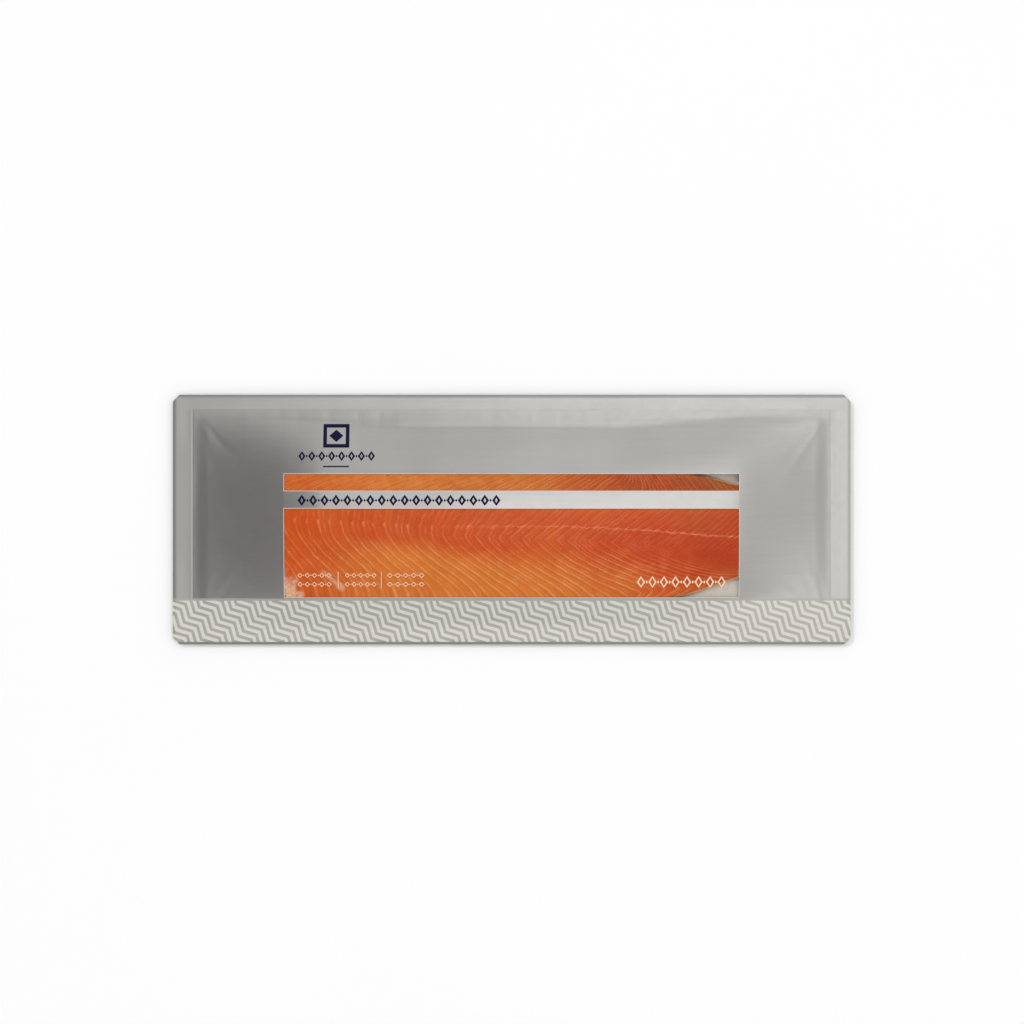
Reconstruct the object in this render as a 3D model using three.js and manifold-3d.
// A whole side of smoked salmon, vacuum packed in a flat silver film pouch with two clear windows.
//
// The pouch is two webs of film, heat sealed to each other all round. The lower web lies flat under a stiff
// card board. The upper web is drawn over the fish on that board, so it shows the fish as a long, low
// swelling, with soft folds that run from it to the corners of the seal. The two windows are places where
// the upper web has no print, so the fish shows through them.
//
// Millimetres, +Z up. The pack lies on its back. +X runs along the pack towards the fish's tail, and +Y
// points to the long edge that is at the top when the front is read. The origin is on the surface that the
// pack lies on, under the middle of the pack.

import * as THREE from "three";
import { mergeVertices } from "three/addons/utils/BufferGeometryUtils.js";
import Module from "manifold-3d";

// ---- Driving dimensions ----------------------------------------------------------------------------------

const PACK = { length: 600, width: 221, cornerCut: 6 };
const SEAL = { atEnds: 17.5, alongSides: 13 }; // widths of the flat heat-sealed rim
const FILM = 0.5; // thickness of each web
const FIT = 0.3; // gap between pieces that touch
const UNDER_FILM = 0.6; // gap from the fish to the upper web, whose facets cut inside its true curve
const RIM_HEIGHT = 3.4; // the plane in which the two webs meet

const BOARD = { length: 548, width: 186, thickness: 2, cornerRadius: 12 };

const WINDOW_LENGTH = 401.5;
const STRIP_WINDOW = { low: 25.4, high: 40.2 }; // the narrow upper window, in Y
const MAIN_WINDOW = { low: -68.9, high: 9.6 }; // the wide lower window, in Y

// The fish: thickest a little behind the head end and above its midline, thinnest at the tail and the belly.
const FISH = {
  thickest: 16.6, // how far the fish lifts the film where it is thickest
  thickestAt: -60, // in X
  tailShare: 0.54, // thickness at tailAt, as a share of the thickest
  tailAt: 234,
  backShare: 0.2, // how much thicker the back is than the belly
  edgeRadius: 5, // how far in from its edge the trimmed fish is rounded
};

// The trimmed outline of the side, from the head end to the tail: stations along X, with the belly edge and
// the back edge in Y at each. The collar is cut round behind the fin, the flap of the belly square across.
const FISH_OUTLINE = [
  { x: -247, belly: 6, back: 22 },
  { x: -241, belly: -12, back: 44 },
  { x: -228, belly: -27, back: 57 },
  { x: -212, belly: -38, back: 66 },
  { x: -204.5, belly: -44, back: 70 },
  { x: -202, belly: -56, back: 71.5 },
  { x: -200, belly: -69, back: 72 },
  { x: -195, belly: -78, back: 73 },
  { x: -181, belly: -83, back: 75 },
  { x: -150, belly: -86, back: 78 },
  { x: -60, belly: -88, back: 79 },
  { x: 40, belly: -85, back: 74 },
  { x: 110, belly: -77, back: 59 },
  { x: 153, belly: -68, back: 45 },
  { x: 200, belly: -52.5, back: 31.4 },
  { x: 235, belly: -44, back: 22 },
  { x: 252, belly: -34, back: 10 },
  { x: 258, belly: -20, back: -4 },
];

// How the upper web spans what is under it.
const SHOULDER = { rise: 0.5, run: 14 }; // from the rim up to the level of the film over the board
const FOLD = {
  // flat margins inside the seal, and the X from which the folds that bound them run to the corners
  alongBack: 16.5,
  alongBelly: 3.5,
  turnsAt: 85,
  turnsOver: 0.15, // how gradually they turn, as a share of the way to the corner
  // towards the tail the fold on the belly's side runs above the corner, beside the narrow end of the fish
  lift: 30,
  liftFrom: 100,
  liftTo: 260,
};
const RISE = {
  // where the web rises over the fish at each end: how far in from the seal that starts, and how long it is;
  // at the head end it would start outside the seal, so the web leaves the seal there at an angle
  head: { start: -8, length: 126 },
  tail: { start: 8, length: 74 },
};
const RAMP_CORNER = 0.15; // how roundly the rise at the tail end starts and stops, as a share of its length
const ARCH = { power: 1.12, foot: 0.1 }; // a power of 1 is a plain parabola; the foot rounds its start
const BASE_SLACK = 2; // how far the flat underside reaches past the board

// How finely curved surfaces are divided.
const SHOULDER_STEPS = 4;
const WEB_STEPS = { along: 38, across: 17 }; // between the shoulders
const BOARD_CORNER_STEPS = 6;
const FISH_ROWS = 22; // from belly to back
const FISH_COLUMNS = [
  // stretches from the head end to the tail, each up to an X in steps no longer than the one given
  { upTo: -238, step: 2.4 },
  { upTo: -207, step: 4.5 },
  { upTo: -194, step: 1.7 },
  { upTo: 200, step: 10 },
  { upTo: 248, step: 5 },
  { upTo: 258, step: 2.4 },
];

// ---- Derived levels --------------------------------------------------------------------------------------

// Half of the space inside the rim, and half of the flat underside.
const INNER = { x: PACK.length / 2 - SEAL.atEnds, y: PACK.width / 2 - SEAL.alongSides };
const BASE = { x: BOARD.length / 2 + BASE_SLACK, y: BOARD.width / 2 + BASE_SLACK };
const BOARD_BASE = FILM + FIT;
const BOARD_TOP = BOARD_BASE + BOARD.thickness;
const FISH_BASE = BOARD_TOP + FIT;
const ABOVE_PACK = 40; // a height that clears the whole pack, for cutting
const OVERLAP = 0.2; // how deep solids that are fused reach into each other
const WINDOW_FLOOR = BOARD_BASE + BOARD.thickness / 2; // where the windows' cuts start, under the upper web
const SAME_POINT = 1e-4; // vertices closer than this are one
const NEAR = 0.5; // half the length over which an edge's slope is measured

// ---- Small helpers ---------------------------------------------------------------------------------------

const clamp01 = (t) => Math.min(1, Math.max(0, t));

function smoothstep(from, to, value) {
  const t = clamp01((value - from) / (to - from));
  return t * t * (3 - 2 * t);
}

// A straight ramp from 0 to 1 with its two corners rounded.
function roundedRamp(from, to, value) {
  const t = (value - from) / (to - from);
  return (1 + Math.hypot(t, RAMP_CORNER) - Math.hypot(t - 1, RAMP_CORNER)) / 2;
}

// Evenly spaced values from a to b, in the given number of steps.
function evenly(a, b, steps) {
  return Array.from({ length: steps + 1 }, (_, i) => a + ((b - a) * i) / steps);
}

// A smooth curve through one column of the fish's outline, as a function of X (cubic Hermite pieces).
function throughStations(key) {
  const xs = FISH_OUTLINE.map((s) => s.x);
  const ys = FISH_OUTLINE.map((s) => s[key]);
  const last = xs.length - 1;
  const slopes = xs.map((_, i) => {
    const a = Math.max(0, i - 1);
    const b = Math.min(last, i + 1);
    return (ys[b] - ys[a]) / (xs[b] - xs[a]);
  });
  return (x) => {
    const clamped = Math.min(xs[last], Math.max(xs[0], x));
    let i = 0;
    while (i < last - 1 && clamped > xs[i + 1]) i += 1;
    const span = xs[i + 1] - xs[i];
    const t = (clamped - xs[i]) / span;
    const t2 = t * t;
    const t3 = t2 * t;
    return (
      (2 * t3 - 3 * t2 + 1) * ys[i] +
      (t3 - 2 * t2 + t) * span * slopes[i] +
      (3 * t2 - 2 * t3) * ys[i + 1] +
      (t3 - t2) * span * slopes[i + 1]
    );
  };
}

const bellyEdge = throughStations("belly");
const backEdge = throughStations("back");
const HEAD_X = FISH_OUTLINE[0].x;
const TAIL_X = FISH_OUTLINE.at(-1).x;

// ---- The shape of the upper web --------------------------------------------------------------------------

// How far the fish lifts the film along the pack: it rises from the seal at the head end, is highest over
// the shoulder of the fish, and tapers to the tail.
function swellingAlong(x) {
  const { head, tail } = RISE;
  const taper = 1 - (1 - FISH.tailShare) * smoothstep(FISH.thickestAt, FISH.tailAt, x);
  const atHead = smoothstep(head.start, head.start + head.length, INNER.x + x);
  const atTail = roundedRamp(tail.start, tail.start + tail.length, INNER.x - x);
  return FISH.thickest * taper * atHead * atTail;
}

// How far the fish lifts the film above the board at one point. Across the fish it is a low arch between the
// two long folds, a little higher on the back's side. The folds leave a flat margin beside the seal, which
// narrows to nothing at the corners, except at the belly's side of the tail, where it widens.
function swelling(x, y) {
  const out = clamp01((Math.abs(x) - FOLD.turnsAt) / (INNER.x - FOLD.turnsAt));
  const margin = 1 - (out * out * (1 + FOLD.turnsOver)) / (out + FOLD.turnsOver);
  const low = FOLD.alongBelly * margin + FOLD.lift * smoothstep(FOLD.liftFrom, FOLD.liftTo, x) - INNER.y;
  const high = INNER.y - FOLD.alongBack * margin;
  const across = (2 * y - low - high) / (high - low);
  const parabola = 1 - across * across;
  const arch = ((parabola + Math.hypot(parabola, ARCH.foot)) / 2) ** ARCH.power;
  return swellingAlong(x) * arch * (1 + FISH.backShare * across);
}

// 0 at the seal, 1 where the film has risen over the shoulder.
function risen(x, y) {
  const alongX = smoothstep(0, SHOULDER.run, INNER.x - Math.abs(x));
  return alongX * smoothstep(0, SHOULDER.run, INNER.y - Math.abs(y));
}

// The lower face of the upper web, which starts from the seal at the rim.
function webInside(x, y) {
  return RIM_HEIGHT + risen(x, y) * (SHOULDER.rise + swelling(x, y));
}

// Its upper face, which starts just under the top of the rim, so that it comes out of the rim at an angle.
function webOutside(x, y) {
  return webInside(x, y) + FILM - OVERLAP * (1 - risen(x, y));
}

// ---- Making closed meshes --------------------------------------------------------------------------------

const wasm = await Module();
wasm.setup();

function toSolid(geometry) {
  const bare = geometry.clone();
  bare.deleteAttribute("normal");
  bare.deleteAttribute("uv");
  const merged = mergeVertices(bare, SAME_POINT);
  return new wasm.Manifold(
    new wasm.Mesh({
      numProp: 3,
      vertProperties: merged.attributes.position.array,
      triVerts: new Uint32Array(merged.index.array),
    }),
  );
}

function toGeometry(solid) {
  const made = solid.getMesh();
  const geometry = new THREE.BufferGeometry();
  const positions = new Float32Array(made.numVert * 3);
  for (let i = 0; i < made.numVert; i += 1) {
    positions.set(made.vertProperties.subarray(i * made.numProp, i * made.numProp + 3), i * 3);
  }
  geometry.setAttribute("position", new THREE.BufferAttribute(positions, 3));
  geometry.setIndex(new THREE.BufferAttribute(new Uint32Array(made.triVerts), 1));
  geometry.computeVertexNormals();
  return geometry;
}

// A closed solid between two height functions over a grid. Where the two heights meet on the border of the
// grid, the solid ends in a sharp edge there; elsewhere it has an upright wall.
function between(xs, ys, top, bottom) {
  const position = [];
  const index = [];
  const columns = ys.length;
  const layer = xs.length * columns;
  for (const height of [top, bottom]) {
    for (const x of xs) {
      for (const y of ys) position.push(x, y, height(x, y));
    }
  }
  const at = (i, j) => i * columns + j;
  for (let i = 0; i < xs.length - 1; i += 1) {
    for (let j = 0; j < columns - 1; j += 1) {
      const [a, b, c, d] = [at(i, j), at(i + 1, j), at(i + 1, j + 1), at(i, j + 1)];
      index.push(a, b, c, a, c, d);
      index.push(layer + a, layer + c, layer + b, layer + a, layer + d, layer + c);
    }
  }
  const border = [];
  for (let i = 0; i < xs.length - 1; i += 1) border.push([at(i, 0), at(i + 1, 0)]);
  for (let j = 0; j < columns - 1; j += 1) border.push([at(xs.length - 1, j), at(xs.length - 1, j + 1)]);
  for (let i = xs.length - 1; i > 0; i -= 1) border.push([at(i, columns - 1), at(i - 1, columns - 1)]);
  for (let j = columns - 1; j > 0; j -= 1) border.push([at(0, j), at(0, j - 1)]);
  const height = (v) => position[3 * v + 2];
  const open = (v) => height(v) - height(layer + v) > SAME_POINT;
  for (const [a, b] of border) {
    if (open(a) || open(b)) index.push(a, layer + a, layer + b, a, layer + b, b);
  }
  const geometry = new THREE.BufferGeometry();
  geometry.setAttribute("position", new THREE.Float32BufferAttribute(position, 3));
  geometry.setIndex(index);
  return geometry;
}

// An upright block with a flat top and bottom.
function block(lowX, highX, lowY, highY, lowZ, highZ) {
  const geometry = new THREE.BoxGeometry(highX - lowX, highY - lowY, highZ - lowZ);
  geometry.translate((lowX + highX) / 2, (lowY + highY) / 2, (lowZ + highZ) / 2);
  return geometry;
}

// A shallow tray shape: a rectangle at lowZ that spreads evenly to the space inside the rim. It reaches that
// size at rimZ, and goes on a little past it.
function spreading(lowZ, rimZ) {
  const share = 1 + OVERLAP / (rimZ - lowZ);
  const top = { x: BASE.x + (INNER.x - BASE.x) * share, y: BASE.y + (INNER.y - BASE.y) * share };
  const geometry = new THREE.BoxGeometry(2, 2, rimZ + OVERLAP - lowZ);
  geometry.translate(0, 0, (lowZ + rimZ + OVERLAP) / 2);
  const points = geometry.getAttribute("position");
  for (let i = 0; i < points.count; i += 1) {
    const half = points.getZ(i) > lowZ + OVERLAP ? top : BASE;
    points.setXY(i, points.getX(i) * half.x, points.getY(i) * half.y);
  }
  return geometry;
}

// The pack's outline with its four cut corners, as an upright prism.
function outlinePrism(lowZ, highZ) {
  const [hx, hy, cut] = [PACK.length / 2, PACK.width / 2, PACK.cornerCut];
  const corners = [
    [hx, -hy + cut],
    [hx, hy - cut],
    [hx - cut, hy],
    [-hx + cut, hy],
    [-hx, hy - cut],
    [-hx, -hy + cut],
    [-hx + cut, -hy],
    [hx - cut, -hy],
  ];
  const shape = new THREE.Shape(corners.map(([x, y]) => new THREE.Vector2(x, y)));
  const geometry = new THREE.ExtrudeGeometry(shape, { depth: highZ - lowZ, bevelEnabled: false });
  geometry.translate(0, 0, lowZ);
  return geometry;
}

// Grid lines: close together over the shoulder, further apart over the fish.
function gridLines(half, steps) {
  const shoulder = evenly(half - SHOULDER.run, half, SHOULDER_STEPS).slice(1);
  const middle = evenly(-(half - SHOULDER.run), half - SHOULDER.run, steps);
  return [...shoulder.map((v) => -v).reverse(), ...middle, ...shoulder];
}

const ALONG = gridLines(INNER.x, WEB_STEPS.along);
const ACROSS = gridLines(INNER.y, WEB_STEPS.across);

// ---- The pieces ------------------------------------------------------------------------------------------

// The pouch as if it were filled: what the upper web covers, the rim, and what the lower web holds.
const upperWhole = toSolid(between(ALONG, ACROSS, webOutside, () => RIM_HEIGHT));
const rim = toSolid(outlinePrism(RIM_HEIGHT - FILM, RIM_HEIGHT + FILM));
const lowerWhole = toSolid(spreading(0, RIM_HEIGHT - FILM));

// The space inside it. Its upper part dips a little into the lower part, and closes to an edge at the seal.
const upperSpace = toSolid(between(ALONG, ACROSS, webInside, (x, y) => RIM_HEIGHT - OVERLAP * risen(x, y)));
const lowerSpace = toSolid(spreading(FILM, RIM_HEIGHT - OVERLAP));

const film = upperWhole.add(rim).add(lowerWhole).subtract(lowerSpace).subtract(upperSpace);

// The upright block that a window takes out of the upper web, or, with a margin, that its clear film fills.
function windowBlock({ low, high }, margin) {
  const half = WINDOW_LENGTH / 2 - margin;
  return toSolid(block(-half, half, low + margin, high - margin, WINDOW_FLOOR, ABOVE_PACK));
}

function makePouch() {
  return toGeometry(film.subtract(windowBlock(STRIP_WINDOW, 0)).subtract(windowBlock(MAIN_WINDOW, 0)));
}

function makeWindow(place) {
  return toGeometry(film.intersect(windowBlock(place, FIT)));
}

function makeBoard() {
  const [hx, hy, r] = [BOARD.length / 2, BOARD.width / 2, BOARD.cornerRadius];
  const shape = new THREE.Shape();
  shape.moveTo(-hx + r, -hy);
  shape.lineTo(hx - r, -hy);
  shape.absarc(hx - r, -hy + r, r, -Math.PI / 2, 0);
  shape.lineTo(hx, hy - r);
  shape.absarc(hx - r, hy - r, r, 0, Math.PI / 2);
  shape.lineTo(-hx + r, hy);
  shape.absarc(-hx + r, hy - r, r, Math.PI / 2, Math.PI);
  shape.lineTo(-hx, -hy + r);
  shape.absarc(-hx + r, -hy + r, r, Math.PI, 1.5 * Math.PI);
  return new THREE.ExtrudeGeometry(shape, {
    depth: BOARD.thickness,
    bevelEnabled: false,
    curveSegments: BOARD_CORNER_STEPS,
  });
}

// Distance in from the fish's trimmed edge, taken square to the edge's slope.
function inFromEdge(x, y) {
  const squareTo = (edge) => Math.hypot(1, (edge(x + NEAR) - edge(x - NEAR)) / (2 * NEAR));
  return Math.min(
    (y - bellyEdge(x)) / squareTo(bellyEdge),
    (backEdge(x) - y) / squareTo(backEdge),
    x - HEAD_X,
    TAIL_X - x,
  );
}

// Height of the fish's upper face: just under the film, and rounded down to the base at the trimmed edge.
function fishTop(x, y) {
  const full = webInside(x, y) - UNDER_FILM - FISH_BASE;
  const short = 1 - clamp01(inFromEdge(x, y) / FISH.edgeRadius);
  return FISH_BASE + full * Math.sqrt(1 - short * short);
}

// X of each column of the fish's grid.
function fishColumns() {
  const columns = [HEAD_X];
  for (const { upTo, step } of FISH_COLUMNS) {
    const start = columns.at(-1);
    columns.push(...evenly(start, upTo, Math.ceil((upTo - start) / step)).slice(1));
  }
  return columns;
}

// The side of salmon, on a grid that runs from head to tail and from belly to back. Rows crowd towards the
// two long edges, where the surface turns down.
function makeFish() {
  const crowded = (t) => 0.5 - 0.5 * Math.cos(Math.PI * t);
  const position = [];
  const index = [];
  const grid = fishColumns().map((x) =>
    evenly(0, 1, FISH_ROWS).map((share) => {
      const y = bellyEdge(x) + (backEdge(x) - bellyEdge(x)) * crowded(share);
      position.push(x, y, fishTop(x, y));
      return position.length / 3 - 1;
    }),
  );
  const last = grid.length - 1;
  for (let i = 0; i < last; i += 1) {
    for (let j = 0; j < FISH_ROWS; j += 1) {
      const [a, b, c, d] = [grid[i][j], grid[i + 1][j], grid[i + 1][j + 1], grid[i][j + 1]];
      index.push(a, b, c, a, c, d);
    }
  }
  // The flat base shares the border's vertices: the belly edge from head to tail, the tail end, then the
  // back edge to the head.
  const border = [
    ...grid.map((column) => column[0]),
    ...grid[last].slice(1, FISH_ROWS),
    ...grid.map((column) => column[FISH_ROWS]).reverse(),
    ...grid[0].slice(1, FISH_ROWS).reverse(),
  ];
  const flat = border.map((v) => new THREE.Vector2(position[3 * v], position[3 * v + 1]));
  for (const [a, b, c] of THREE.ShapeUtils.triangulateShape(flat, [])) {
    index.push(border[a], border[c], border[b]);
  }
  const geometry = new THREE.BufferGeometry();
  geometry.setAttribute("position", new THREE.Float32BufferAttribute(position, 3));
  geometry.setIndex(index);
  geometry.computeVertexNormals();
  return geometry;
}

// ---- Materials and the finished pack ---------------------------------------------------------------------

const SILVER_FILM = new THREE.MeshStandardMaterial({ color: 0xb4b2ad, roughness: 0.42, metalness: 0.6 });
const CLEAR_FILM = new THREE.MeshStandardMaterial({
  color: 0xf4f6f6,
  roughness: 0.12,
  metalness: 0,
  transparent: true,
  opacity: 0.18,
});
const SALMON = new THREE.MeshStandardMaterial({ color: 0xc85a2c, roughness: 0.38, metalness: 0 });
const CARD = new THREE.MeshStandardMaterial({ color: 0xc6c0b8, roughness: 0.7, metalness: 0 });

const pack = new THREE.Group();

function addPiece(name, geometry, material) {
  const mesh = new THREE.Mesh(geometry, material);
  mesh.name = name;
  pack.add(mesh);
  return mesh;
}

addPiece("pouch", makePouch(), SILVER_FILM);
addPiece("window_main", makeWindow(MAIN_WINDOW), CLEAR_FILM);
addPiece("window_strip", makeWindow(STRIP_WINDOW), CLEAR_FILM);
addPiece("board", makeBoard(), CARD).position.z = BOARD_BASE;
addPiece("salmon_side", makeFish(), SALMON);

export default pack;
